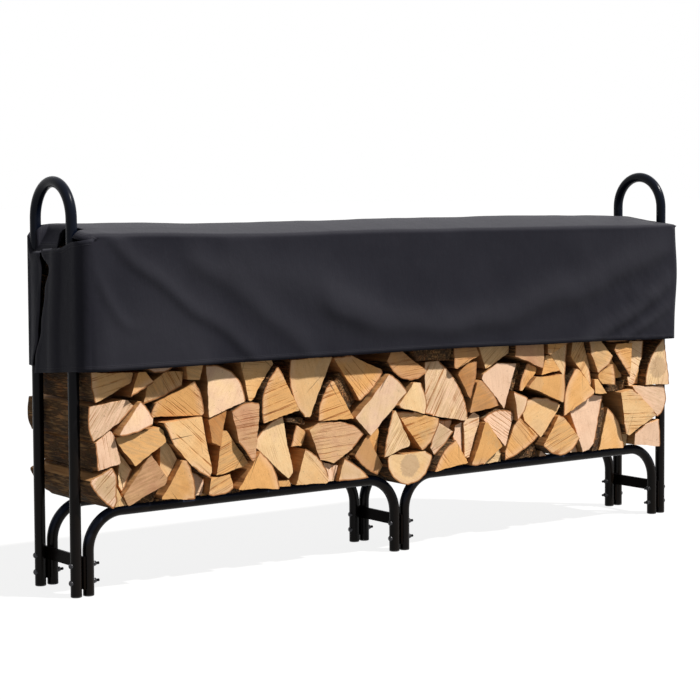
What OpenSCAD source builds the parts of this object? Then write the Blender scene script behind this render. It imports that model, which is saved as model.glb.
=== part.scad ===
// Covered firewood rack: a bolted tube frame, its cross braces, a stack of split logs and a fitted cover.
// Millimetres. X runs along the rack, -Y is the front, Z is up and Z = 0 is the ground.

/* [Frame] */
// Overall length, outside to outside of the end hoops
rack_length = 2400; // [1800:10:3000]
// Overall height, ground to the top of the end hoops
rack_height = 1212; // [1150:2:1400]
// Distance between the front and back legs, centre to centre
leg_spacing = 215; // [190:1:250]
// Outside diameter of every tube
tube_d = 33; // [28:0.5:38]
// Wall thickness of every tube
tube_wall = 1.5; // [1:0.1:3]
// Height of the top of the base rails, where the logs lie
rail_top = 256; // [235:1:320]
// Centre line radius of the bend at each end of a base rail
rail_bend_r = 110; // [80:1:125]

/* [Feet] */
// Thickness of the foot cap under each leg
cap_t = 4; // [2:0.5:8]
// Radius of the rounded edge of a foot cap
cap_round = 3; // [1:0.5:4]
// Length of the spigot that plugs a cap into its tube
cap_spigot = 14; // [8:1:30]

/* [Cross braces] */
// Thickness of a brace, which is the gap between two legs bolted together
brace_t = 7; // [4:0.5:12]
// Height of the bar that crosses from front to back
brace_h = 37; // [20:1:60]
// Height of the top of the bar above the ground
brace_top = 117; // [100:1:140]
// Sheet thickness left behind the pressed hollow of the bar
brace_sheet = 2.5; // [1.5:0.5:4]
// Width of the tab at each end, clamped between two legs
brace_tab_w = 29; // [20:1:32]
// Height of the bottom of the tabs above the ground
brace_tab_z = 22; // [10:1:40]

/* [Logs] */
// Usual length of a log from front to back
log_length = 330; // [280:1:360]
// Greatest slip of a log forwards or backwards from the middle
log_slip = 10; // [0:1:20]
// Extra length at the back of the two long logs at the left end
log_overhang = 30; // [0:1:40]
// Amount by which each outline grows before it is trimmed to its neighbours
log_grow = 4; // [1:0.5:5]
// Distance of the thin packing splits from the ends of the other logs
packing_back = 25; // [0:1:60]
// Number of courses hidden under the cover
hidden_courses = 3; // [2:1:4]
// Number of logs in a hidden course
hidden_logs = 17; // [14:1:20]
// Height of a hidden course
hidden_h = 123; // [100:1:140]
// Shortening of each end of the logs in the top course, so that the cover is crowned
heap_back = 55; // [0:1:90]
// How much lower the first and last logs of the top course lie
heap_end = 20; // [0:1:40]

/* [Cover] */
// Depth of the cover from its front panel to its back panel
cover_depth = 384; // [370:1:440]
// Height of the lower edge of the cover above the ground
cover_hem = 650; // [450:5:900]
// Fall of the top from its ridge to its long edges
cover_fall = 30; // [10:1:60]
// Radius of the long edges of the top
cover_round = 18; // [8:1:40]
// Distance of the top edge of the end flaps below the crown
flap_drop = 52; // [40:1:100]
// Outside radius of the upright front corners of the end flaps
flap_corner_r = 40; // [10:1:60]
// Outside radius of their back corners
back_corner_r = 22; // [10:1:36]
// How far the back corners of the flaps are tucked in towards the legs
back_tuck = 50; // [0:1:54]
// Thickness of the cloth
cloth_t = 2; // [1:0.5:4]
// Distance of the end of the top panel from the end of the rack
cover_inset = 48; // [40:1:80]
// Distance of the slit in each end of the cover from the middle, towards the back
slit_offset = 45; // [0:1:60]
// Width of the slit
slit_w = 14; // [2:1:40]

/* [Hidden] */
$fn = 48;
// Rest distance between two pieces that touch
seat = 0.3;
hoop_x = (rack_length - tube_d) / 2;
leg_y = leg_spacing / 2;
leg_pitch = tube_d + brace_t + 2 * seat;
rail_out = hoop_x - leg_pitch;
rail_in = leg_pitch / 2;
rail_z = rail_top - tube_d / 2;
arch_z = rack_height - tube_d / 2 - leg_y;
bore_d = tube_d - 2 * tube_wall;
stack_half = rack_length / 2 - tube_d - 2;
stretch = stack_half / 1165;
lift = (cover_hem - rail_top) / 394;

// Log outlines, seen from the front, in the order they are laid. A row gives the bulge of the bark
// side, then the corners as distance from the middle and height over rails 256 high, turning to the
// left; the bark side runs from the last corner back to the first and 0 means no bark.
LEFT_END = [
    [8, [-1092, 258], [-1082, 275], [-1082, 348], [-1092, 370], [-1164, 338]],
    [0, [-1033, 258], [-914, 308], [-906, 325], [-961, 399], [-1048, 286]],
    [10, [-848, 371], [-860, 373], [-926, 270], [-822, 258]],
    [0, [-1135, 361], [-1063, 378], [-1083, 468], [-1092, 477], [-1139, 446]],
    [0, [-1014, 371], [-916, 431], [-924, 468], [-936, 477], [-1079, 454]],
    [24, [-758, 316], [-751, 330], [-791, 498], [-923, 489]],
    [10, [-1146, 451], [-1075, 490], [-1016, 546], [-1035, 562], [-1158, 553]],
    [5, [-1006, 563], [-1083, 473], [-1061, 456], [-963, 491], [-961, 510]],
    [6, [-812, 603], [-942, 546], [-958, 508], [-786, 503], [-779, 516]],
    [5, [-1140, 573], [-1025, 625], [-1020, 648], [-1160, 658]],
    [0, [-1036, 583], [-961, 620], [-985, 650], [-1012, 650]],
    [0, [-976, 552], [-850, 583], [-847, 633], [-905, 637], [-962, 602]],
    [0, [-843, 612], [-796, 610], [-785, 660], [-845, 660]],
    [16, [-890, 655], [-900, 668], [-965, 668], [-975, 655]]];
LEFT_BAY = [
    [12, [-671, 272], [-682, 315], [-750, 308], [-759, 264]],
    [13, [-583, 375], [-598, 371], [-672, 274], [-517, 262]],
    [0, [-731, 313], [-618, 343], [-698, 447], [-707, 447]],
    [0, [-748, 421], [-721, 409], [-697, 507], [-760, 487]],
    [12, [-680, 507], [-657, 409], [-613, 354], [-603, 366], [-584, 523]],
    [16, [-600, 392], [-470, 281], [-452, 300], [-491, 474]],
    [12, [-413, 369], [-447, 264], [-338, 262], [-335, 283]],
    [32, [-744, 652], [-761, 652], [-759, 502], [-634, 541]],
    [0, [-613, 528], [-527, 640], [-535, 655], [-641, 655]],
    [28, [-570, 461], [-439, 489], [-502, 606], [-520, 629]],
    [23, [-400, 470], [-381, 469], [-308, 646], [-463, 646]]];
MIDDLE = [
    [86, [88, 306], [62, 321], [-85, 320], [-95, 310]],
    [5, [-261, 327], [-285, 257], [-177, 262]],
    [8, [-121, 264], [-101, 288], [-167, 384], [-174, 383], [-215, 331]],
    [6, [-113, 306], [-16, 333], [-10, 358], [-66, 463], [-74, 463]],
    [0, [-287, 314], [-252, 334], [-185, 398], [-208, 421], [-255, 437], [-350, 447], [-388, 424], [-350, 332]],
    [14, [-357, 452], [-226, 449], [-299, 569], [-307, 571]],
    [6, [-90, 580], [-217, 452], [-160, 393], [-24, 523]],
    [8, [-104, 591], [-109, 600], [-230, 652], [-290, 648], [-192, 511]],
    [15, [95, 256], [238, 270], [184, 346]],
    [0, [51, 329], [80, 350], [112, 405], [112, 424], [12, 450], [-46, 455]],
    [0, [109, 309], [146, 338], [180, 376], [127, 406], [113, 403], [93, 335]],
    [0, [-33, 462], [36, 441], [60, 449], [61, 490], [38, 543], [0, 548], [-60, 485]],
    [24, [130, 606], [68, 607], [62, 443], [232, 411], [243, 419]],
    [40, [76, 577], [-45, 656], [-76, 655], [-94, 621]],
    [0, [28, 620], [160, 615], [172, 660], [2, 660]]];
RIGHT_BAY = [
    [0, [236, 291], [250, 288], [297, 398], [298, 418], [272, 431], [248, 415], [232, 408]],
    [0, [251, 262], [301, 257], [385, 311], [313, 396], [301, 397]],
    [9, [552, 330], [468, 399], [446, 378], [404, 288], [404, 266]],
    [18, [306, 405], [403, 305], [442, 400], [437, 420]],
    [44, [732, 310], [655, 389], [640, 395], [564, 298]],
    [0, [565, 322], [653, 424], [650, 432], [604, 452], [556, 460], [507, 455], [489, 415], [499, 376]],
    [0, [455, 394], [470, 400], [509, 452], [498, 466], [445, 487]],
    [8, [296, 534], [279, 530], [247, 433], [374, 446]],
    [0, [404, 437], [456, 579], [375, 585], [316, 553], [309, 538]],
    [6, [655, 531], [533, 530], [501, 497], [645, 438], [656, 440]],
    [6, [472, 492], [497, 491], [541, 532], [545, 561], [509, 576]],
    [0, [250, 484], [262, 475], [272, 502], [280, 597], [240, 595], [205, 563]],
    [0, [180, 586], [190, 584], [282, 622], [264, 660], [176, 660]],
    [0, [330, 562], [430, 605], [434, 660], [290, 660]],
    [0, [440, 606], [545, 567], [567, 563], [568, 660], [440, 660]],
    [0, [552, 537], [640, 550], [604, 596], [572, 601]],
    [0, [664, 519], [674, 520], [685, 634], [607, 603], [640, 549]],
    [0, [585, 604], [601, 602], [676, 640], [676, 660], [583, 660]]];
RIGHT_END = [
    [0, [751, 259], [786, 265], [813, 290], [852, 445], [800, 451], [697, 398]],
    [16, [665, 397], [795, 456], [798, 467], [736, 544], [722, 546]],
    [0, [805, 459], [858, 457], [820, 503], [803, 504]],
    [20, [884, 399], [839, 258], [953, 256]],
    [0, [952, 312], [968, 304], [1100, 364], [1000, 446], [980, 458], [925, 452]],
    [0, [1001, 262], [1060, 254], [1138, 230], [1133, 300], [1123, 340], [1045, 328], [1001, 305]],
    [19, [1142, 461], [993, 466], [1117, 356], [1132, 362]],
    [0, [822, 492], [896, 484], [893, 525], [884, 552], [826, 522]],
    [0, [800, 469], [791, 545], [763, 658], [728, 658], [703, 586], [715, 563]],
    [7, [889, 580], [826, 642], [770, 648], [787, 600], [822, 530], [833, 527]],
    [22, [1053, 465], [1164, 468], [1164, 486], [1141, 620], [1132, 624]],
    [0, [978, 461], [988, 462], [1043, 570], [1047, 622], [984, 625], [972, 490]],
    [0, [968, 510], [977, 622], [905, 622], [893, 602]],
    [14, [976, 636], [968, 668], [870, 668], [858, 640]]];
// Thin splits pushed into the gaps between the others, a little back from the faces
PACKING = [
    [0, [-1075, 340], [-1045, 300], [-1012, 360], [-1050, 440], [-1074, 452]],
    [0, [-920, 330], [-880, 318], [-862, 372], [-905, 432], [-918, 425]],
    [0, [-815, 258], [-764, 258], [-757, 300], [-800, 335]],
    [0, [-512, 257], [-440, 257], [-452, 288], [-500, 290]],
    [0, [-446, 372], [-412, 372], [-390, 420], [-425, 440]],
    [0, [-462, 440], [-392, 424], [-388, 440], [-405, 462], [-462, 462]],
    [0, [-332, 258], [-292, 258], [-272, 305], [-300, 325], [-340, 322]],
    [0, [-180, 268], [-214, 330], [-246, 322]],
    [0, [-150, 342], [-122, 330], [-112, 400], [-130, 440], [-165, 398]],
    [0, [-232, 470], [-205, 500], [-265, 590], [-290, 560]],
    [0, [172, 378], [192, 384], [201, 411], [126, 414]],
    [0, [192, 352], [232, 286], [230, 404], [205, 395]],
    [0, [448, 492], [470, 482], [505, 575], [462, 578]],
    [0, [722, 258], [752, 258], [745, 292], [728, 302]],
    [0, [798, 258], [834, 258], [874, 385], [858, 432]],
    [0, [957, 258], [996, 258], [998, 300], [968, 305]],
    [0, [864, 462], [920, 458], [968, 466], [966, 500], [900, 480]],
    [0, [900, 498], [962, 502], [938, 555], [895, 582]],
    [0, [996, 478], [1044, 472], [1050, 540], [1040, 560]],
    [0, [-1084, 257], [-1038, 257], [-1049, 286], [-1076, 332]],
    [0, [-1028, 257], [-932, 257], [-924, 272], [-918, 302]],
    [0, [-720, 257], [-640, 257], [-640, 264], [-672, 273]],
    [0, [-84, 458], [-22, 452], [-30, 466], [-60, 484]],
    [0, [150, 257], [240, 257], [246, 272]],
    [0, [312, 257], [402, 257], [402, 284], [386, 306]],
    [0, [420, 257], [598, 257], [562, 318], [470, 292]],
    [0, [586, 257], [636, 257], [606, 280], [592, 290]]];

// Flat geometry: outlines turn to the left and the normal of a side points out of its outline.
function after(poly, k) = poly[(k + 1) % len(poly)];
function before(poly, k) = poly[(k + len(poly) - 1) % len(poly)];
function out(a, b) = [b[1] - a[1], a[0] - b[0]] / norm(b - a);
function column(poly, axis) = [for (p = poly) p[axis]];
function tidy(poly) = [for (k = [0:len(poly) - 1]) if (norm(poly[k] - after(poly, k)) > 0.8) poly[k]];

// Part of an outline on the far side of a line
function keep(poly, at, n) = tidy([for (k = [0:len(poly) - 1])
    let (p = poly[k], q = after(poly, k), dp = (p - at) * n, dq = (q - at) * n)
    each concat(dp >= 0 ? [p] : [], (dp >= 0) != (dq >= 0) ? [p + (q - p) * dp / (dp - dq)] : [])]);

// Outline with every side moved out by g
function grown(poly, g) = [for (k = [0:len(poly) - 1])
    let (n = out(before(poly, k), poly[k]), m = out(poly[k], after(poly, k)))
    poly[k] + (n + m) * g / (1 + n * m)];

// Side of a that best parts it from b: distance of b outside it, a point on it and its normal
function parting(a, b) = let (
    sides = [for (k = [0:len(a) - 1]) let (n = out(a[k], after(a, k)))
        [min([for (p = b) (p - a[k]) * n]), a[k], n]],
    best = max(column(sides, 0)))
    [for (s = sides) if (s[0] == best) s][0];

// Outline a trimmed so that it lies beside b
function beside(a, b) = let (s = parting(b, a), t = parting(a, b))
    max(s[0], t[0]) >= seat ? a
    : s[0] >= t[0] ? keep(a, s[1] + s[2] * seat, s[2])
    : keep(a, t[1] + t[2] * (t[0] - seat), -t[2]);

function meets(a, b, axis) = max(column(a, axis)) > min(column(b, axis))
    && max(column(b, axis)) > min(column(a, axis));
function fitted(a, others, j = 0) = j == len(others) ? a
    : fitted(meets(a, others[j], 0) && meets(a, others[j], 1) ? beside(a, others[j]) : a, others, j + 1);
function laid(rows, fixed, done = [], i = 0) = i == len(rows) ? done
    : laid(rows, fixed, concat(done, [fitted(rows[i], concat(fixed, done))]), i + 1);

// Heights of an outline over one place, lowest and highest
function span(poly, x) = let (z = [for (k = [0:len(poly) - 1])
    let (p = poly[k], q = after(poly, k))
    if (p[0] != q[0] && x >= min(p[0], q[0]) && x <= max(p[0], q[0]))
    p[1] + (q[1] - p[1]) * (x - p[0]) / (q[0] - p[0])]) [min(z), max(z)];

// Free height under outline a before it meets b, or nothing when b is not under it
function fall(a, b) = let (
    lo = max(min(column(a, 0)), min(column(b, 0))) + 0.01,
    hi = min(max(column(a, 0)), max(column(b, 0))) - 0.01)
    lo >= hi || min(column(a, 1)) - max(column(b, 1)) > 1.1 * hidden_h ? []
    : let (mid = (lo + hi) / 2, sa = span(a, mid), sb = span(b, mid))
    sa[0] + sa[1] < sb[0] + sb[1] ? []
    : [min([for (x = concat([lo, hi], [for (p = concat(a, b)) if (p[0] > lo && p[0] < hi) p[0]]))
        span(a, x)[0] - span(b, x)[1]])];

// Drop of every log until it rests on the rails or on a log that has dropped
function settled(under, drops, passes) = passes == 0 ? drops
    : settled(under, [for (u = under) min(concat([rack_height], [for (f = u) f[1] + (f[0] < 0 ? 0 : drops[f[0]])]))],
        passes - 1);

// Corners of a log stretched to the rack, with the bark side rounded: a shallow arc, or half an ellipse
function outline(row) = let (
    corners = [for (k = [1:len(row) - 1]) [row[k][0] * stretch, rail_top + (row[k][1] - 256) * lift]],
    a = corners[len(corners) - 1], b = corners[0], bulge = out(a, b) * row[0] * lift)
    concat(corners, row[0] == 0 ? []
        : row[0] < 60 ? [for (u = [0.2:0.2:0.81]) a + (b - a) * u + bulge * 4 * u * (1 - u)]
        : [for (t = [18:24:162]) a + (b - a) * (1 - cos(t)) / 2 + bulge * sin(t)]);

// Outline of a bay's rail, filled down to the ground
function bay(x0, x1) = let (r = rail_bend_r + tube_d / 2, z = rail_z - rail_bend_r) concat(
    [[x0 - tube_d / 2, 0], [x1 + tube_d / 2, 0]],
    [for (a = [0:6:90]) [x1 - rail_bend_r + r * cos(a), z + r * sin(a)]],
    [for (a = [90:6:180]) [x0 + rail_bend_r + r * cos(a), z + r * sin(a)]]);
function wall(x0, x1) = [[x0, 0], [x1, 0], [x1, rack_height], [x0, rack_height]];

// Hidden courses: wedges point up and point down in turn
function hidden_row(c, k) = let (
    w = 2 * stack_half / hidden_logs, x = k * w - stack_half, lean = w * 0.2 * ((k + c) % 2 == 0 ? 1 : -1),
    z = rail_top + 412 * lift + c * hidden_h, heap = c == hidden_courses - 1 && (k == 0 || k == hidden_logs - 1),
    top = z + hidden_h + 7 * sin(131 * k + 77 * c) - (heap ? heap_end : 0))
    [[max(x - lean, -stack_half), z], [min(x + w + lean, stack_half), z],
    [min(x + w - lean, stack_half), top], [max(x + lean, -stack_half), top]];

VISIBLE = concat(LEFT_END, LEFT_BAY, MIDDLE, RIGHT_BAY, RIGHT_END, PACKING);
OBSTACLES = [bay(-rail_out, -rail_in), bay(rail_in, rail_out),
    wall(-hoop_x - tube_d, -stack_half - 1), wall(stack_half + 1, hoop_x + tube_d)];
TRIMMED = laid(concat([for (row = VISIBLE) grown(outline(row), log_grow)],
    [for (c = [0:hidden_courses - 1], k = [0:hidden_logs - 1]) hidden_row(c, k)]), OBSTACLES);
PADDED = [for (poly = concat([OBSTACLES[0], OBSTACLES[1]], TRIMMED)) grown(poly, 0.49 * seat)];
UNDER = [for (i = [0:len(TRIMMED) - 1]) [for (j = [-2:len(TRIMMED) - 1]) if (j != i)
    for (f = fall(PADDED[i + 2], PADDED[j + 2])) [j, max(0, f)]]];
DROPS = settled(UNDER, [for (t = TRIMMED) rack_height], 24);
STACK = [for (i = [0:len(TRIMMED) - 1]) [for (p = TRIMMED[i]) p - [0, DROPS[i] < rack_height ? DROPS[i] : 0]]];
stack_top = max([for (poly = STACK) max(column(poly, 1))]);
first_of = [0, len(LEFT_END), len(LEFT_END) + len(LEFT_BAY), len(LEFT_END) + len(LEFT_BAY) + len(MIDDLE),
    len(VISIBLE) - len(PACKING) - len(RIGHT_END), len(VISIBLE) - len(PACKING)];

// Cover: fall of its top at a distance from the ridge
cover_half = cover_depth / 2 - cloth_t / 2;
edge_y = cover_half - cover_round;
function sunk(y) = cover_fall * pow(min(abs(y) / edge_y, 1), 1.5);
cover_crown = stack_top + cloth_t / 2 + 2 * seat + sunk(log_length / 2 - heap_back + log_slip / 2);
cover_end = rack_length / 2 - cover_inset;
flap_x = rack_length / 2 + seat + cloth_t / 2;

// Strip of cloth along a path
function strip(path, t) = let (last = len(path) - 1,
    n = [for (k = [0:last]) let (
        a = out(path[max(k - 1, 0)], path[max(k, 1)]), b = out(path[min(k, last - 1)], path[min(k + 1, last)]))
        (a + b) / (1 + a * b)])
    concat([for (k = [0:last]) path[k] + n[k] * t / 2], [for (k = [last:-1:0]) path[k] - n[k] * t / 2]);

// Upright tube from the top of its foot cap to a height
module upright(x, y, top, d, more = 0) {
    translate([x, y, cap_t - more]) cylinder(d = d, h = top - cap_t + more);
}

module hoop_solid(x, d, more = 0) {
    for (y = [-leg_y, leg_y]) upright(x, y, arch_z, d, more);
    translate([x, 0, arch_z]) rotate([90, 0, 90])
        rotate_extrude(angle = 180) translate([leg_y, 0]) circle(d = d);
}

module hoop(x) {
    color([0.09, 0.09, 0.1]) difference() {
        hoop_solid(x, tube_d);
        hoop_solid(x, bore_d, 1);
    }
}

module rail_solid(x0, x1, y, d, more = 0) {
    for (x = [x0, x1]) upright(x, y, rail_z - rail_bend_r, d, more);
    translate([x0 + rail_bend_r, y, rail_z]) rotate([0, 90, 0])
        cylinder(d = d, h = x1 - x0 - 2 * rail_bend_r);
    translate([x0 + rail_bend_r, y, rail_z - rail_bend_r]) rotate([90, 0, 0]) rotate(90)
        rotate_extrude(angle = 90) translate([rail_bend_r, 0]) circle(d = d);
    translate([x1 - rail_bend_r, y, rail_z - rail_bend_r]) rotate([90, 0, 0])
        rotate_extrude(angle = 90) translate([rail_bend_r, 0]) circle(d = d);
}

module rail(x0, x1, y) {
    color([0.09, 0.09, 0.1]) difference() {
        rail_solid(x0, x1, y, tube_d);
        rail_solid(x0, x1, y, bore_d, 1);
    }
}

module foot_cap(x, y) {
    translate([x, y, 0]) rotate_extrude() polygon(concat(
        [[0, 0], [tube_d / 2 - cap_round, 0]],
        [for (a = [-75:15:0]) [tube_d / 2 - cap_round + cap_round * cos(a), cap_round + cap_round * sin(a)]],
        [[tube_d / 2, cap_t], [bore_d / 2 - seat, cap_t], [bore_d / 2 - seat, cap_t + cap_spigot],
        [0, cap_t + cap_spigot]]));
}

module hoop_foot_caps() {
    color([0.05, 0.05, 0.05]) for (x = [-hoop_x, hoop_x], y = [-leg_y, leg_y]) foot_cap(x, y);
}

module rail_foot_caps() {
    color([0.05, 0.05, 0.05])
        for (x = [-rail_out, -rail_in, rail_in, rail_out], y = [-leg_y, leg_y]) foot_cap(x, y);
}

// Pressed brace: a hollowed bar from front to back with a flat tab between each pair of legs
module cross_brace(x) {
    span_y = leg_spacing + brace_tab_w;
    color([0.07, 0.07, 0.08]) translate([x - brace_t / 2, 0, 0]) difference() {
        union() {
            translate([0, -span_y / 2, brace_top - brace_h]) cube([brace_t, span_y, brace_h]);
            for (y = [-leg_y, leg_y]) translate([0, y - brace_tab_w / 2, brace_tab_z])
                cube([brace_t, brace_tab_w, brace_top - brace_tab_z - brace_h / 2]);
        }
        translate([brace_sheet, -leg_y + brace_tab_w / 2 + brace_sheet, brace_top - brace_h + brace_sheet])
            cube([brace_t, leg_spacing - brace_tab_w - 2 * brace_sheet, brace_h - 2 * brace_sheet]);
    }
}

// One log of the stack, shorter at both ends by back
module log(i, slip = 1, back = 0) {
    extra = i == 0 || i == 6 ? log_overhang : 0;
    translate([0, log_slip * slip * sin(137.5 * i) + log_length / 2 + extra - back, 0]) rotate([90, 0, 0])
        linear_extrude(log_length + extra - 2 * back) polygon(STACK[i]);
}

module visible_logs(part) {
    color([0.78, 0.6, 0.4]) for (i = [first_of[part]:first_of[part + 1] - 1]) log(i);
}

module logs_packing() {
    color([0.6, 0.45, 0.3])
        for (i = [len(VISIBLE) - len(PACKING):len(VISIBLE) - 1]) log(i, 1, packing_back);
}

module hidden_course(c) {
    color([0.7, 0.52, 0.34])
        for (k = [0:hidden_logs - 1])
            log(len(VISIBLE) + c * hidden_logs + k, 0.5, c == hidden_courses - 1 ? heap_back : 0);
}

// Front, top and back panels of the cover in one piece
module cover_body() {
    edge_z = cover_crown - cover_fall - cover_round;
    edge = [for (a = [0:15:75]) [edge_y + cover_round * cos(a), edge_z + cover_round * sin(a)]];
    path = concat([[-cover_half, cover_hem]], [for (p = edge) [-p[0], p[1]]],
        [for (k = [-10:10]) [edge_y * k / 10, cover_crown - sunk(edge_y * k / 10)]],
        [for (k = [len(edge) - 1:-1:0]) edge[k]], [[cover_half, cover_hem]]);
    color([0.2, 0.2, 0.23]) translate([-cover_end, 0, 0]) rotate([90, 0, 90])
        linear_extrude(2 * cover_end) polygon(strip(path, cloth_t));
}

// End of a panel: from the body's edge, round an upright corner and across the hoop leg to the slit
module flap(side, face) {
    r = (face > 0 ? flap_corner_r : back_corner_r) - cloth_t / 2;
    start = [cover_end + seat, -cover_half];
    middle = [flap_x - r, r - cover_half + (face > 0 ? 0 : back_tuck)];
    turn = atan2(start[1] - middle[1], start[0] - middle[0]) + acos(r / norm(middle - start));
    path = concat([start], [for (k = [6:-1:0]) middle + r * [cos(turn * k / 6), sin(turn * k / 6)]],
        [[flap_x, face * slit_offset - slit_w / 2]]);
    color([0.2, 0.2, 0.23]) scale([side, face, 1]) translate([0, 0, cover_hem])
        linear_extrude(cover_crown - flap_drop - cover_hem) polygon(strip(path, cloth_t));
}

module left_hoop() hoop(-hoop_x);
module right_hoop() hoop(hoop_x);
module front_left_rail() rail(-rail_out, -rail_in, -leg_y);
module front_right_rail() rail(rail_in, rail_out, -leg_y);
module back_left_rail() rail(-rail_out, -rail_in, leg_y);
module back_right_rail() rail(rail_in, rail_out, leg_y);
module left_cross_brace() cross_brace(-hoop_x + leg_pitch / 2);
module middle_cross_brace() cross_brace(0);
module right_cross_brace() cross_brace(hoop_x - leg_pitch / 2);
module logs_left_end() visible_logs(0);
module logs_left_bay() visible_logs(1);
module logs_middle() visible_logs(2);
module logs_right_bay() visible_logs(3);
module logs_right_end() visible_logs(4);
module logs_hidden_lower() hidden_course(0);
module logs_hidden_middle() hidden_course(1);
module logs_hidden_top() for (c = [2:hidden_courses - 1]) hidden_course(c);
module front_left_flap() flap(-1, 1);
module back_left_flap() flap(-1, -1);
module front_right_flap() flap(1, 1);
module back_right_flap() flap(1, -1);

left_hoop();
right_hoop();
front_left_rail();
front_right_rail();
back_left_rail();
back_right_rail();
hoop_foot_caps();
rail_foot_caps();
left_cross_brace();
middle_cross_brace();
right_cross_brace();
logs_left_end();
logs_left_bay();
logs_middle();
logs_right_bay();
logs_right_end();
logs_packing();
logs_hidden_lower();
logs_hidden_middle();
logs_hidden_top();
cover_body();
front_left_flap();
back_left_flap();
front_right_flap();
back_right_flap();
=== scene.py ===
"""Covered log store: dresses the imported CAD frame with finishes, split logs, bolts and a cloth cover."""

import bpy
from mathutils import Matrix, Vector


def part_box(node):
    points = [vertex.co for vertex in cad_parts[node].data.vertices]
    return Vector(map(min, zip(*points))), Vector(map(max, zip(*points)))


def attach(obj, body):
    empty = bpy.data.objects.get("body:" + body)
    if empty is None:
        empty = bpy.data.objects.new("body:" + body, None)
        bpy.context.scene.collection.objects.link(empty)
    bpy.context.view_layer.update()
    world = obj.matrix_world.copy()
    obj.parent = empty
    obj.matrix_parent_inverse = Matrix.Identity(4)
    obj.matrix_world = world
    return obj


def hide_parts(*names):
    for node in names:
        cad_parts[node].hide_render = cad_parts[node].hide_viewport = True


bl_info = {
    "name": "Covered log store",
    "version": (1, 0, 0),
    "blender": (4, 5, 0),
    "location": "View3D > Sidebar > Log store",
    "description": "Coats the tube frame, splits the logs, hangs the cover and lights the store",
    "category": "Object",
}

import bpy
import numpy as np
from bpy.props import FloatProperty, FloatVectorProperty, IntProperty, PointerProperty
from mathutils import Matrix

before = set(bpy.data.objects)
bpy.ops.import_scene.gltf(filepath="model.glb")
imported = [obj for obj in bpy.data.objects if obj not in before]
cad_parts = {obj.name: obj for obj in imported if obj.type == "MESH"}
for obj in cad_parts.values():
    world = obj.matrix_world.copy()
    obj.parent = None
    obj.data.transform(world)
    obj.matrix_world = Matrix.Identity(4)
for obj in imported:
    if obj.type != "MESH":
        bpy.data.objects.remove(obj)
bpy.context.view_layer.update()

TUBE_NODES = [
    "left_hoop",
    "right_hoop",
    "front_left_rail",
    "front_right_rail",
    "back_left_rail",
    "back_right_rail",
]
BRACE_NODES = ["left_cross_brace", "middle_cross_brace", "right_cross_brace"]
CAP_NODES = ["hoop_foot_caps", "rail_foot_caps"]
SEEN_LOGS = [
    "logs_left_end",
    "logs_left_bay",
    "logs_middle",
    "logs_right_bay",
    "logs_right_end",
    "logs_packing",
]
HIDDEN_LOGS = ["logs_hidden_lower", "logs_hidden_middle", "logs_hidden_top"]
COVER_NODES = [
    "cover_body",
    "front_left_flap",
    "back_left_flap",
    "front_right_flap",
    "back_right_flap",
]

# Flakes of bark in the stack's gaps: corners as length and height, then front and back
BARK_SCRAPS = [
    ([(-0.9380, 0.2562), (-0.8560, 0.2562), (-0.9322, 0.2662)], -0.140, 0.130),
    ([(-1.1340, 0.3572), (-1.0980, 0.3732), (-1.1340, 0.3645)], -0.120, 0.172),
    ([(-0.7720, 0.2545), (-0.7430, 0.2545), (-0.7640, 0.2655)], -0.125, 0.140),
    ([(0.5900, 0.2600), (0.6340, 0.2545), (0.6000, 0.2730)], -0.125, 0.130),
]

# Folds of the front: points of the crest as length and height, then width above, width below and height
CRESTS = [
    ([(-1.10, 1.025), (-0.93, 0.885), (-0.72, 0.745), (-0.60, 0.665)], 0.032, 0.015, 0.0062),
    ([(-0.84, 0.965), (-0.66, 0.850), (-0.48, 0.720), (-0.40, 0.660)], 0.050, 0.028, 0.0062),
    ([(-1.195, 1.000), (-1.16, 0.945), (-1.12, 0.875), (-1.05, 0.780)], 0.022, 0.012, 0.0042),
    ([(-1.19, 0.680), (-0.95, 0.650), (-0.78, 0.630)], 0.170, 0.100, 0.0130),
    ([(-0.72, 0.960), (-0.39, 0.860), (-0.15, 0.795)], 0.090, 0.080, 0.0050),
    (
        [(-0.36, 0.825), (-0.02, 0.740), (0.18, 0.715), (0.47, 0.765), (1.12, 0.940)],
        0.062,
        0.036,
        0.0100,
    ),
    ([(0.72, 0.640), (0.85, 0.674), (0.99, 0.736), (1.14, 0.815)], 0.040, 0.022, 0.0095),
    ([(0.92, 0.630), (1.06, 0.690), (1.15, 0.745)], 0.022, 0.013, 0.0060),
]

# Logs: slots of their finishes, then the rings of a cut as shares of its outline
SAWN, SPLIT, BARK = range(3)
CUT_RINGS = np.array([0.22, 0.48, 0.72, 0.88, 0.965])

# Turn between sides that are bark, longest such side, and chance of bark on a log that has no curved side
BARK_TURN = (0.04, 0.55)
BARK_SIDE = 0.08
BARK_CHANCE = 0.15

# Share of its length that a flake is wide, and share of its outline that is bark on a whole log
FLAKE_WIDTH = 0.35
WHOLE_BARK = 0.55

# A cut's usual and greatest slope, its rounded rim, and a year's ring
CUT_TILT, MOST_TILT = 0.05, 0.09
RIM_ROUNDING, RIM_DEPTH = 0.0013, 0.0016
RING_WIDTH = 0.0042

# Seeds of the draws, and the coarser mesh of logs that the cover hides
SEEN_SEED, HIDDEN_SEED, FOLD_SEED = 40, 80, 21
HIDDEN_ROWS, HIDDEN_STEPS = 6, 3

# Cover: length over the top, which its wings lack, threads in radians a metre, and its sewing
TOP_LENGTH = 0.45
WEAVE = 2200
STITCH = 0.0055
SEAM = 0.013


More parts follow.
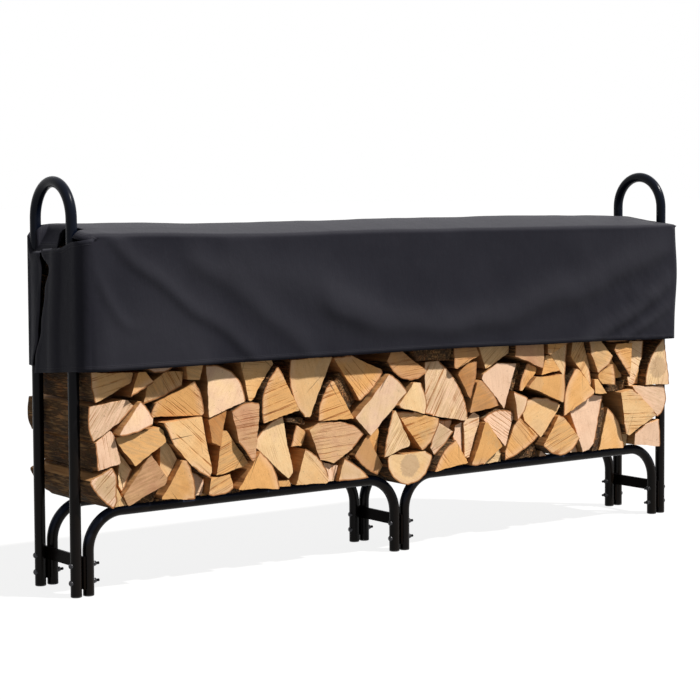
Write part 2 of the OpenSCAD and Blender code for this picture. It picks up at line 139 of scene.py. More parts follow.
class Value:
    """A socket of a finish. Arithmetic on it adds Math nodes."""

    def __init__(self, finish, node, out):
        self.finish = finish
        self.node = node
        self.socket = node.outputs[out]

    def output(self, out):
        """Another output of the same node."""
        return Value(self.finish, self.node, out)

    def math(self, operation, *terms):
        """A Math node on the terms, in order."""
        return self.finish.node("ShaderNodeMath", {"operation": operation}, dict(enumerate(terms)))

    def __add__(self, other):
        return self.math("ADD", self, other)

    def __radd__(self, other):
        return self.math("ADD", other, self)

    def __sub__(self, other):
        return self.math("SUBTRACT", self, other)

    def __rsub__(self, other):
        return self.math("SUBTRACT", other, self)

    def __mul__(self, other):
        return self.math("MULTIPLY", self, other)

    def __rmul__(self, other):
        return self.math("MULTIPLY", other, self)

    def __truediv__(self, other):
        return self.math("DIVIDE", self, other)

    def __rtruediv__(self, other):
        return self.math("DIVIDE", other, self)

    def __pow__(self, other):
        return self.math("POWER", self, other)

    def __mod__(self, other):
        return self.math("FLOORED_MODULO", self, other)

    def __abs__(self):
        return self.math("ABSOLUTE", self)

    def step(self, low, high):
        """Smooth step from 0 at low to 1 at high."""
        settings = {"interpolation_type": "SMOOTHSTEP"}
        return self.finish.node("ShaderNodeMapRange", settings, {0: self, 1: low, 2: high})


class Finish:
    """One material, or the world. Every node added to it comes from node()."""

    def __init__(self, name, world=False):
        self.material = (bpy.data.worlds if world else bpy.data.materials).new(name)
        self.material.use_nodes = True
        self.tree = self.material.node_tree
        self.shader = self.tree.nodes["Background" if world else "Principled BSDF"]
        self.last = self.tree.nodes["World Output" if world else "Material Output"]
        self.glow = "ShaderNodeBackground" if world else "ShaderNodeEmission"

    def node(self, kind, settings=None, sockets=None, out=0):
        """Adds a node, makes its settings, then sets or links its sockets, and gives one output."""
        node = self.tree.nodes.new(kind)
        for key, value in (settings or {}).items():
            if key == "stops":
                ramp = node.color_ramp
                for place, colour in value[1:-1]:
                    ramp.elements.new(place).color = (*colour, 1)
                ramp.elements[0].color = (*value[0][1], 1)
                ramp.elements[-1].color = (*value[-1][1], 1)
            else:
                setattr(node, key, value)
        self.feed(node, sockets or {})
        return Value(self, node, out)

    def feed(self, node, sockets):
        """Links or sets the inputs of a node."""
        for key, value in sockets.items():
            if isinstance(value, Value):
                self.tree.links.new(value.socket, node.inputs[key])
            elif np.ndim(value) == 1 and len(node.inputs[key].default_value) == 4:
                node.inputs[key].default_value = (*value[:3], 1)
            else:
                node.inputs[key].default_value = value

    def place(self):
        """Object coordinates, in metres."""
        return self.node("ShaderNodeTexCoord", out="Object")

    def parts(self, vector):
        """The X of a vector, whose other outputs are Y and Z."""
        return self.node("ShaderNodeSeparateXYZ", None, {0: vector})

    def joined(self, x, y, z):
        """A vector of three values."""
        return self.node("ShaderNodeCombineXYZ", None, {0: x, 1: y, 2: z})

    def facing_up(self):
        """Height of the normal: 1 where the surface faces up, -1 where it faces down."""
        return self.parts(self.node("ShaderNodeNewGeometry", out="Normal")).output("Z")

    def stretched(self, vector, scale):
        """A vector scaled along each axis."""
        return self.node("ShaderNodeMapping", None, {"Vector": vector, "Scale": scale})

    def noise(self, vector, scale, detail=3.0, roughness=0.55):
        """Noise from 0 to 1."""
        sockets = {"Vector": vector, "Scale": scale, "Detail": detail, "Roughness": roughness}
        return self.node("ShaderNodeTexNoise", None, sockets)

    def attribute(self, name, out="Fac"):
        """A value that the mesh carries."""
        return self.node("ShaderNodeAttribute", {"attribute_name": name}, out=out)

    def blend(self, share, first, second, kind="MIX"):
        """One colour turning into another."""
        settings = {"data_type": "RGBA", "blend_type": kind}
        return self.node("ShaderNodeMix", settings, {0: share, 6: first, 7: second}, 2)

    def layered(self, colour, *layers):
        """A colour under layers in turn: the share, the colour and perhaps the kind of blend of each."""
        for share, over, *kind in layers:
            colour = self.blend(share, colour, over, *kind)
        return colour

    def bump(self, height, distance, strength=1.0):
        """Normal of a surface with that height in units of distance, in metres."""
        sockets = {"Height": height, "Distance": distance, "Strength": strength}
        return self.node("ShaderNodeBump", None, sockets)

    def done(self, sockets):
        """Feeds the shader and gives the material."""
        self.feed(self.shader, sockets)
        return self.material

    def white_where_seen(self, share):
        """Turns the surface white, by that share, to rays from the camera, mirrors and glass."""
        rays = self.node("ShaderNodeLightPath", out="Is Camera Ray")
        seen = rays.math("MAXIMUM", rays, rays.output("Is Glossy Ray"))
        seen = seen.math("MAXIMUM", seen, rays.output("Is Transmission Ray"))
        white = self.node(self.glow, None, {"Color": (1, 1, 1), "Strength": 1.0})
        plain = Value(self, self.shader, 0)
        mixed = self.node("ShaderNodeMixShader", None, {0: seen * share, 1: plain, 2: white})
        self.feed(self.last, {"Surface": mixed})
        return seen


def powder_coat(look, name, gloss, sky_reflection_share):
    """Black coat on steel: fine orange peel and a soft gloss.

    Its colour carries painted reflections: warm low down for the ground, bluish higher up for the sky.
    Low down it takes a painted bluish sky reflection where it faces up, as much as the share argument
    says, and a painted brownish ground reflection where it faces down.
    """
    finish = Finish(name)
    place = finish.place()
    peel = finish.noise(place, 420, 2)
    cloud = finish.noise(place, 7, 4)
    up = finish.facing_up()
    height = finish.parts(place).output("Z")
    low = 1 - height.step(0.3, 0.9)
    # Painted sky reflection: low surfaces that face up turn bluish, by the share argument
    painted_sky_reflection = up.step(0.05, 0.4) * (0.5 + cloud.step(0.35, 0.75) * 0.4) * low * sky_reflection_share
    # Painted reflections: warm low coat and brownish undersides for the ground, bluish coat higher up and
    # on low tops for the sky
    colour = finish.layered(
        look.coat_low_ground_reflection,
        (height.step(0.3, 1.0), look.coat),
        ((1 - up.step(-0.5, -0.05)) * low, look.coat_under_ground_reflection),
        (cloud.step(0.3, 0.8) * 0.4, look.coat_worn),
        (painted_sky_reflection, look.coat_sky_reflection),
    )
    return finish.done(
        {
            "Base Color": colour,
            "Roughness": 0.21 + cloud * 0.09 + painted_sky_reflection * 0.12,
            "Specular IOR Level": gloss,
            "Normal": finish.bump(peel, 0.00018, 0.5),
        }
    )


def moulded_cap(look):
    """Dull black plastic with moulding grain, greyer where it has stood on the ground."""
    finish = Finish("moulded_cap")
    place = finish.place()
    grain = finish.noise(place, 900, 2)
    height = finish.parts(place).output("Z")
    scuff = (1 - height.step(0.0, 0.006)) * finish.noise(place, 160, 4).step(0.3, 0.7)
    return finish.done(
        {
            "Base Color": finish.blend(scuff * 0.6, look.plastic, look.scuff),
            "Roughness": 0.55 + grain * 0.2,
            "Normal": finish.bump(grain, 0.0002, 0.5),
        }
    )


def dull_zinc(look):
    """Plated bolt gone dark: dull metal with duller patches and fine turning marks."""
    finish = Finish("dull_zinc")
    place = finish.place()
    patch = finish.noise(place, 260, 4)
    turned = finish.noise(finish.stretched(place, (2600, 300, 300)), 1, 1)
    return finish.done(
        {
            "Base Color": finish.blend(patch.step(0.35, 0.7), look.zinc, look.zinc_dull),
            "Metallic": 0.75,
            "Roughness": 0.28 + patch * 0.3,
            "Normal": finish.bump(turned, 0.0002, 0.35),
        }
    )


def sawn_end(look):
    """Sawn end of a log.

    Rings are the remainder of the distance from the pith over a ring's width. Saw lines and streaks are
    noise drawn out along a direction of each log's own, cracks are peaks of noise over the angle round the
    pith, and the rim and the bark's edge come from distances that the mesh carries. Which logs are scored,
    stained, weathered or old comes from remainders of multiples of each log's seed.
    """
    finish = Finish("sawn_end")
    place = finish.place()
    across = finish.parts(finish.attribute("pith", "Vector"))
    high, seed = across.output("Y"), across.output("Z")
    bark = finish.attribute("bark_in")
    cloud = finish.noise(place, 13, 4, 0.6)
    fine = finish.noise(place, 260, 3)

    def some_logs(multiple, none, full):
        """Share, from 0 to 1, that a mark has on each log."""
        return ((seed * multiple) % 1).step(none, full)

    radius = (across * across + high * high) ** 0.5
    late = (((radius + cloud * 0.012) / RING_WIDTH) % 1) ** 4
    turn = seed * (2 * np.pi)
    cosine, sine = turn.math("COSINE", turn), turn.math("SINE", turn)
    along = across * cosine + high * sine
    beside = high * cosine - across * sine
    lines = finish.joined(along * 270 + cloud * 2, beside * 4, seed * 40)
    score = finish.noise(lines, 1.0, 1.0).step(0.54, 0.68)
    score = score * some_logs(7.31, 0.30, 0.65) * finish.noise(place, 22, 2).step(0.25, 0.6)
    streak = finish.noise(finish.joined(along * 150, beside * 16, seed * 40), 1.0, 4.0)
    angle = high.math("ARCTAN2", high, across)
    split = finish.noise(finish.joined(angle * 9, seed * 31, radius * 3), 1.0, 1.0)
    crack = split.step(0.71, 0.75) * cloud.step(0.3, 0.55)
    stain = finish.noise(finish.stretched(place, (1, 0.2, 1)), 15, 3).step(0.6, 0.72)
    stain = stain * some_logs(3.77, 0.45, 0.7)
    speck = finish.noise(place, 190, 2).step(0.66, 0.74)
    heart = 1 - (radius + cloud * 0.03 + split * 0.02).step(0.060, 0.068)
    heart = heart * (finish.attribute("whole") * 0.8 + some_logs(5.13, 0.4, 0.7) * 0.3)
    sap = 1 - (bark + cloud * 0.02).step(0.012, 0.04)
    weather = some_logs(9.77, 0.60, 0.86) * streak.step(0.25, 0.70)
    old = some_logs(6.47, 0.88, 0.92) * (0.35 + cloud * 0.5)
    rim = 1 - finish.attribute("rim").step(0.0, 0.003)
    edge = bark + cloud * 0.004 + fine * 0.002

    stops = [
        (0.0, look.end_orange),
        (0.28, look.end_orange),
        (0.45, look.end_tan),
        (0.64, look.end_cream),
        (0.84, look.end_pale),
        (1.0, look.end_pale),
    ]
    shade = finish.attribute("tone") + cloud * 0.5 - 0.25
    brown = (look.end_brown, "MULTIPLY")
    colour = finish.layered(
        finish.node("ShaderNodeValToRGB", {"stops": stops}, {0: shade}),
        (heart, look.end_heart),
        (sap * 0.4, look.end_pale),
        (weather * 0.6, look.end_stain),
        (old, *brown),
        (streak.step(0.4, 0.8) * 0.2, *brown),
        (cloud.step(0.5, 0.75) * 0.2, *brown),
        (fine.step(0.4, 0.75) * 0.16, *brown),
        (late * 0.14, *brown),
        (stain * 0.5, look.end_stain),
        (score * 0.95, *brown),
        (speck * 0.5, look.end_crack),
        (crack * 0.75, look.end_crack),
        (rim * 0.25, *brown),
        (1 - edge.step(0.0072, 0.0096), look.bark_red),
        (1 - edge.step(0.0042, 0.0062), look.bark_dark),
    )
    height = fine * 0.35 + streak * 0.35 - late * 0.2 - score * 0.9 - crack * 2.0
    return finish.done(
        {
            "Base Color": colour,
            "Roughness": 0.72 + fine * 0.15,
            "Specular IOR Level": 0.25,
            "Normal": finish.bump(height, 0.0011, 0.7),
        }
    )


def split_side(look):
    """Split face of a log: fibres run along it, so the noise is drawn out along Y."""
    finish = Finish("split_side")
    place = finish.place()
    fibre = finish.noise(finish.stretched(place, (120, 5, 120)), 1, 5, 0.65)
    torn = finish.noise(finish.stretched(place, (34, 3, 34)), 1, 3)
    cloud = finish.noise(place, 9, 3)
    colour = finish.layered(
        look.side_red,
        (finish.attribute("tone") * 0.5 + cloud * 0.4, look.side_tan),
        (torn.step(0.4, 0.7) * 0.5, look.side_dark),
        (fibre.step(0.35, 0.75) * 0.5, look.end_brown, "MULTIPLY"),
    )
    return finish.done(
        {
            "Base Color": colour,
            "Roughness": 0.7 + fibre * 0.2,
            "Specular IOR Level": 0.25,
            "Normal": finish.bump(fibre * 0.6 + torn, 0.003, 0.8),
        }
    )


def rough_bark(look):
    """Bark: ridges of folded noise drawn out along the log, dark furrows and a few pale lichen spots."""
    finish = Finish("rough_bark")
    place = finish.place()
    ridge = 1 - abs(finish.noise(finish.stretched(place, (95, 10, 95)), 1, 4, 0.6) - 0.5) * 4
    plate = finish.noise(finish.stretched(place, (48, 14, 48)), 1, 3)
    cloud = finish.noise(finish.stretched(place, (24, 9, 24)), 1, 5, 0.65)
    fine = finish.noise(place, 190, 4, 0.7)
    furrow = ridge.step(0.55, 0.95)
    lichen = finish.noise(place, 24, 2).step(0.68, 0.72) * fine.step(0.35, 0.6)
    worn = cloud.step(0.28, 0.66) * (0.5 + finish.attribute("tone") * 0.8)
    colour = finish.layered(
        look.bark_dark,
        (worn, look.bark_grey),
        (plate.step(0.5, 0.65) * 0.6, look.bark_red),
        (furrow * 0.75, look.furrow),
        (lichen * 0.35, look.lichen),
    )
    return finish.done(
        {
            "Base Color": colour,
            "Roughness": 0.85,
            "Specular IOR Level": 0.2,
            "Normal": finish.bump(plate + fine * 0.35 - furrow * 0.9, 0.005, 0.9),
        }
    )


def cover_cloth(look):
    """Coated canvas: crossed-sine weave on the cut, sewn hems, rubbed mottle, painted crest highlights,
    painted sky-lit top.
    """
    finish = Finish("cover_cloth")
    place = finish.place()
    cut = finish.parts(finish.node("ShaderNodeUVMap", {"uv_map": "cut"}))
    warp, weft = cut * WEAVE, cut.output("Y") * WEAVE
    weave = warp.math("SINE", warp) * weft.math("SINE", weft)
    edge = finish.attribute("edge")
    cloud = finish.noise(place, 3.5, 4)
    mottle = finish.noise(place, 45, 4, 0.65)
    crease = finish.noise(finish.stretched(place, (26, 26, 14)), 1, 4, 0.6)
    run = (cut + cut.output("Y")) / STITCH
    dash = 1 - abs(run % 1 - 0.5).step(0.3, 0.36)
    stitch = (1 - abs(edge - SEAM).step(0.0006, 0.0012)) * dash
    hem = 1 - edge.step(0.0155, 0.0175)
    colour = finish.layered(
        look.cloth_dark,
        (cloud.step(0.25, 0.75), look.cloth),
        # Painted highlight on the folds' crests, by fold height, plus a real rubbed mottle
        (finish.attribute("crest") * 0.35 + mottle.step(0.5, 0.85) * 0.18, look.cloth_crest_highlight_and_rubbed),
        # Painted sky light: cloth that faces up is paler, as if lit from above, with a mottle
        (finish.facing_up().step(0.6, 1.0) * (0.5 + mottle * 0.5), look.cloth_sky_lit_top),
        (stitch * 0.8, look.thread),
    )
    height = weave * 0.015 + crease.step(0.3, 0.8) * 0.6 + mottle * 0.2 + hem * 0.45 - stitch * 0.6
    return finish.done(
        {
            "Base Color": colour,
            "Roughness": 0.5 + mottle * 0.16,
            "Specular IOR Level": 0.04,
            "Normal": finish.bump(height, 0.0012, 0.8),
        }
    )


def ripple(rng, places, scale, waves=7):
    """Smooth noise from -1 to 1: sine waves over the places, their directions and phases drawn by rng."""
    places = np.asarray(places)
    pull = rng.normal(size=(waves, len(places))) / scale
    phase = rng.uniform(0, 2 * np.pi, waves).reshape((waves,) + (1,) * (places.ndim - 1))
    return np.clip(np.sin(np.tensordot(pull, places, 1) + phase).sum(axis=0) / waves**0.5, -1, 1)


def ease(low, high, x):
    """Smooth step from 0 at low to 1 at high."""
    t = np.clip((x - low) / (high - low), 0, 1)
    return t * t * (3 - 2 * t)


def stations(x, places, heights):
    """Heights at stations along a length, joined by smooth steps."""
    places, heights = np.asarray(places), np.asarray(heights)
    k = np.clip(np.searchsorted(places, x) - 1, 0, len(places) - 2)
    return heights[k] + (heights[k + 1] - heights[k]) * ease(places[k], places[k + 1], x)


def put_mesh(name, points, faces, finishes, slots=None, values=None):
    """Makes an object from point and face arrays, with its materials, face slots and carried values."""
    mesh = bpy.data.meshes.new(name)
    mesh.from_pydata(points, [], faces)
    for finish in finishes:
        mesh.materials.append(finish)
    if slots is not None:
        mesh.polygons.foreach_set("material_index", slots.astype(np.int32))
    for key, value in (values or {}).items():
        vector = value.ndim == 2
        carried = mesh.attributes.new(key, "FLOAT_VECTOR" if vector else "FLOAT", "POINT")
        carried.data.foreach_set("vector" if vector else "value", value.astype(np.float32).ravel())
    mesh.polygons.foreach_set("use_smooth", np.ones(len(mesh.polygons), bool))
    mesh.update()
    piece = bpy.data.objects.new(name, mesh)
    bpy.context.scene.collection.objects.link(piece)
    return piece


def closed_tube(rows, columns):
    """Triangles of a grid whose rows are loops, with fans from its end rows to two more points."""
    at = np.arange(rows * columns).reshape(rows, columns)
    a, b = at[:-1], at[1:]
    c, d = np.roll(b, -1, axis=1), np.roll(a, -1, axis=1)
    body = np.stack([np.stack([a, b, c], -1), np.stack([a, c, d], -1)], 2).reshape(-1, 3)
    first = np.stack([np.full(columns, at.size), a[0], d[0]], -1)
    last = np.stack([np.full(columns, at.size + 1), c[-1], b[-1]], -1)
    return np.concatenate([body, first, last])


def log_ends(node):
    """Reads a node's loose triangles back as logs: corners of the end in turn, front and back of each."""
    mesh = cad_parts[node].data
    points = np.empty(len(mesh.vertices) * 3)
    mesh.vertices.foreach_get("co", points)
    corners = np.empty(len(mesh.loops), np.int32)
    mesh.loops.foreach_get("vertex_index", corners)
    places, index = np.unique(np.round(points.reshape(-1, 3), 5), axis=0, return_inverse=True)
    faces = index.ravel()[corners].reshape(-1, 3)
    label = np.arange(len(places))
    before = None
    while before is None or (before != label).any():
        before = label.copy()
        np.minimum.at(label, faces.ravel(), np.repeat(label[faces].min(axis=1), 3))
    logs = []
    for mark in np.unique(label):
        solid = places[label == mark]
        front, back = solid[:, 1].min(), solid[:, 1].max()
        end = solid[solid[:, 1] < (front + back) / 2][:, [0, 2]]
        middle = end - end.mean(axis=0)
        logs.append((end[np.argsort(np.arctan2(middle[:, 1], middle[:, 0]))], front, back))
    return logs


def log_outline(rng, corners, step, bark_from):
    """Points round a log's end, and which of them are bark.

    The corners are joined by evenly spaced points, which ripples push in and one round of averaging
    softens. Curved sides keep their bark, and so do the sides at the ends of the stack, past bark_from.
    """
    side = np.roll(corners, -1, axis=0) - corners
    length = np.hypot(side[:, 0], side[:, 1])
    before = np.roll(side, 1, axis=0)
    cross = before[:, 0] * side[:, 1] - before[:, 1] * side[:, 0]
    turn = np.arctan2(cross, (before * side).sum(axis=1))
    gentle = (turn > BARK_TURN[0]) & (turn < BARK_TURN[1])
    barked = (gentle | np.roll(gentle, -1)) & (length < BARK_SIDE)
    if barked.sum() < 2:
        barked[:] = False
        barked[np.argmax(length)] = rng.random() < BARK_CHANCE
    count = np.maximum(2, np.round(length / step).astype(int))
    edge = np.repeat(np.arange(len(corners)), count)
    share = (np.arange(count.sum()) - (np.cumsum(count) - count)[edge]) / count[edge]
    loop = corners[edge] + side[edge] * share[:, None]
    outward = np.stack([side[edge, 1], -side[edge, 0]], axis=1) / length[edge, None]
    stack_end = (outward[:, 0] * np.sign(loop[:, 0]) > 0.6) & (np.abs(loop[:, 0]) > bark_from)
    bark = barked[edge] | stack_end
    chips = 0.0008 + 0.0009 * ripple(rng, loop.T, 0.004) + 0.0014 * ripple(rng, loop.T, 0.02)
    lumps = 0.0008 + 0.0013 * ripple(rng, loop.T, 0.007)
    loop = loop - outward * np.where(bark, lumps, chips)[:, None]
    return (np.roll(loop, 1, axis=0) + 2 * loop + np.roll(loop, -1, axis=0)) / 4, bark


def split_log(rng, corners, front, back, step, rows, bark_from):
    """One split log: points, triangles, material slots and carried values.

    The outline is carried from the front cut to the back cut, wandering a little. Both cuts are tilted,
    rounded at the rim and closed by smaller copies of the outline down to a middle point. The thinnest
    logs are flakes of bark.
    """
    loop, bark = log_outline(rng, corners, step, bark_from)
    middle = loop.mean(axis=0)
    spread = loop - middle
    reach = np.hypot(spread[:, 0], spread[:, 1])
    turns = np.radians(np.arange(0, 180, 5))
    widths = np.ptp(spread @ np.stack([np.cos(turns), np.sin(turns)]), axis=0)
    tilt = np.clip(rng.normal(0, CUT_TILT, (2, 2)), -MOST_TILT, MOST_TILT)

    # Rows: rings of the front cut out to its rim, loops along the log, and rings in from the back rim
    rings = len(CUT_RINGS)
    front_rim, back_rim = rings, rings + rows - 1
    scale = np.concatenate([CUT_RINGS, np.ones(rows), CUT_RINGS[::-1]])
    depth = np.concatenate([np.zeros(rings), np.linspace(0, 1, rows), np.ones(rings)])[:, None]
    grid = middle + scale[:, None, None] * spread
    level = np.broadcast_to(depth * 0.3, grid.shape[:2])
    push = 0.0012 * (1 + ripple(rng, [grid[..., 0], level, grid[..., 1]], 0.05))
    push[:front_rim] = 0
    push[back_rim + 1 :] = 0
    push[[front_rim, back_rim]] = RIM_ROUNDING
    grid = grid - spread / reach[:, None] * push[..., None]
    cut_front = front + (grid - middle) @ tilt[0] + 0.0005 * ripple(rng, np.moveaxis(grid, -1, 0), 0.02)
    cut_back = back + (grid - middle) @ tilt[1]
    depth[front_rim + 1], depth[back_rim - 1] = 0, 1
    y = cut_front * (1 - depth) + cut_back * depth
    y[front_rim + 1] += RIM_DEPTH
    y[back_rim - 1] -= RIM_DEPTH
    ends = np.array([[middle[0], front, middle[1]], [middle[0], back, middle[1]]])
    points = np.concatenate([np.stack([grid[..., 0], y, grid[..., 1]], axis=-1).reshape(-1, 3), ends])

    high, wide = y.shape
    row = np.arange(high - 1)[:, None]
    slots = np.where((row <= front_rim) | (row >= back_rim - 1), SAWN, np.where(bark, BARK, SPLIT))
    slots = np.concatenate([np.repeat(slots.ravel(), 2), np.full(2 * wide, SAWN)])
    if widths.min() < FLAKE_WIDTH * widths.max():
        slots[:] = BARK

    flat = np.concatenate([grid.reshape(-1, 2), [middle, middle]])
    whole = bark.mean() > WHOLE_BARK
    seed = rng.random()
    if bark.any():
        rind = loop[bark]
        bark_in = np.hypot(*(flat[:, None] - rind[None]).transpose(2, 0, 1)).min(axis=1)
        pith = middle + (middle - rind.mean(axis=0)) * (0.15 if whole else 1.1)
    else:
        bark_in = np.ones(len(flat))
        direction = rng.uniform(0, 2 * np.pi)
        pith = middle + 0.09 * np.array([np.cos(direction), np.sin(direction)])
    values = {
        "pith": np.column_stack([flat - pith, np.full(len(flat), seed)]),
        "tone": np.full(len(flat), rng.random()),
        "bark_in": bark_in,
        "rim": np.concatenate([((1 - scale)[:, None] * reach).ravel(), [reach.min()] * 2]),
        "whole": np.full(len(flat), float(whole)),
    }
    return points, closed_tube(high, wide), slots, values


def build_logs(node, finishes, step, rows, bark_from, seed, scraps=()):
    """All the logs of one CAD node, with any scraps, as one piece that stands for it."""
    rng = np.random.default_rng(seed)
    logs = log_ends(node) + [(np.array(corners), front, back) for corners, front, back in scraps]
    made = [split_log(rng, *log, step, rows, bark_from) for log in logs]
    points, faces, slots, values = zip(*made)
    starts = np.cumsum([0] + [len(group) for group in points])
    faces = np.concatenate([group + start for group, start in zip(faces, starts)])
    values = {key: np.concatenate([group[key] for group in values]) for key in values[0]}
    points, slots = np.concatenate(points), np.concatenate(slots)
    piece = put_mesh(node + "_split", points, faces, finishes, slots, values)
    piece.data.set_sharp_from_angle(angle=0.9)
    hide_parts(node)
    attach(piece, "root")
    return piece


def bolt_surface(head, grip, tail):
    """A bolt along X: a ring of points carried along a profile of radius over length.

    The profile starts at the crown of a domed head, runs in to the shank, out to a washer and a six-sided
    nut, whose radius is divided by the cosine of the angle from the nearest flat, and ends in a thread,
    whose radius is a sawtooth of the length. Length 0 is the tube under the head.
    """
    sides, turns = 24, 29
    crown, seat, shank, washer, nut, bevel = 0.0065, 0.003, 0.0040, 0.0085, 0.0066, 0.0062
    nut_from, nut_to = grip + 0.0014, grip + 0.0076
    dome = np.linspace(0.05, 1, 9) * np.pi / 2
    thread = np.linspace(nut_to + 0.0001, grip + tail, turns)
    profile = np.concatenate(
        [
            np.column_stack([-crown * np.cos(dome), head * np.sin(dome)]),
            [(seat, head), (seat, shank), (grip - seat, shank), (grip - seat, washer)],
            [(nut_from, washer), (nut_from, bevel), (nut_from + 0.0004, nut)],
            [(nut_to - 0.0006, nut), (nut_to, bevel)],
            np.column_stack([thread, np.where(np.arange(turns) % 2, 0.0035, 0.0042)]),
            [(grip + tail + 0.0006, 0.0030)],
        ]
    )
    length, radius = profile.T[..., None]
    angle = np.linspace(0, 2 * np.pi, sides, endpoint=False)
    flat = np.cos((angle + np.pi / 6) % (np.pi / 3) - np.pi / 6)
    spread = radius / np.where(np.isin(radius, (nut, bevel)), flat, 1)
    rings = np.stack(np.broadcast_arrays(length, spread * np.cos(angle), spread * np.sin(angle)), -1)
    poles = np.array([[-crown, 0, 0], [length[-1, 0], 0, 0]])
    faces = closed_tube(len(profile), sides)[:, [0, 2, 1]]
    return np.concatenate([rings.reshape(-1, 3), poles]), faces


def cover_rows():
    """Rows from the front hem over to the back hem.

    Gives the share of the skirt's height, the share of the edge's turn and the place across the roof.
    """
    skirt, bend, roof = 40, 6, 60
    rise = np.linspace(0, 1, skirt)
    swing = np.linspace(0, 1, bend + 2)[1:-1]
    climb = np.concatenate([rise, np.ones(2 * bend + roof), rise[::-1]])
    bent = np.concatenate([np.zeros(skirt), swing, np.ones(roof), swing[::-1], np.zeros(skirt)])
    over = np.concatenate([-np.ones(skirt + bend), np.linspace(-1, 1, roof), np.ones(skirt + bend)])
    return climb[:, None], bent[:, None], over[:, None]


def cover_columns():
    """Columns from slit to slit.

    Gives the place along the length, the share of the corner's turn and the share of the end crossed.
    """
    main, turn, flap = 250, 12, 22
    wing_turn = np.concatenate([np.linspace(0, 1, turn + 1)[1:], np.ones(flap)])
    wing_across = np.concatenate([np.zeros(turn), np.linspace(0, 1, flap + 1)[1:]])
    along = np.concatenate([-np.ones(turn + flap), np.linspace(-1, 1, main), np.ones(turn + flap)])
    turned = np.concatenate([wing_turn[::-1], np.zeros(main), wing_turn])
    across = np.concatenate([wing_across[::-1], np.zeros(main), wing_across])
    return along, turned, across


def tucked_corner(look, turned):
    """Plan of a back corner: a straight run in from the back, then round the small circle it touches."""
    straight = 0.6
    inner = look.back_radius
    start = np.array([look.back_reach, look.cover_half])
    centre = np.array([look.cover_reach - inner, look.cover_half - inner - look.back_tuck])
    gap = start - centre
    meet = np.arctan2(gap[1], gap[0]) - np.arccos(inner / np.hypot(*gap))
    touch = centre + inner * np.array([np.cos(meet), np.sin(meet)])
    run = np.clip(turned / straight, 0, 1)[:, None]
    swing = meet * (1 - np.clip((turned - straight) / (1 - straight), 0, 1))
    circle = centre + inner * np.column_stack([np.cos(swing), np.sin(swing)])
    plan = np.where(turned[:, None] < straight, start + (touch - start) * run, circle)
    return plan[:, 0], plan[:, 1], centre[1]


def slit_edges(z, front, left):
    """Depth of the slits' edges over the height: the left slit leans and gapes, the right one hangs."""
    left_front = stations(
        z,
        [0.60, 0.672, 0.774, 0.88, 0.947, 0.985, 1.01],
        [0.088, 0.074, 0.04, 0.015, -0.014, 0.03, 0.046],
    )
    left_back = stations(
        z,
        [0.60, 0.66, 0.749, 0.852, 0.946, 0.985, 1.01],
        [0.096, 0.086, 0.055, 0.043, 0.031, 0.045, 0.054],
    )
    right_front = stations(z, [0.60, 0.86, 1.02], [0.044, 0.034, 0.040])
    right_back = stations(z, [0.60, 0.86, 1.02], [0.062, 0.048, 0.050])
    return np.where(front, np.where(left, left_front, right_front), np.where(left, left_back, right_back))


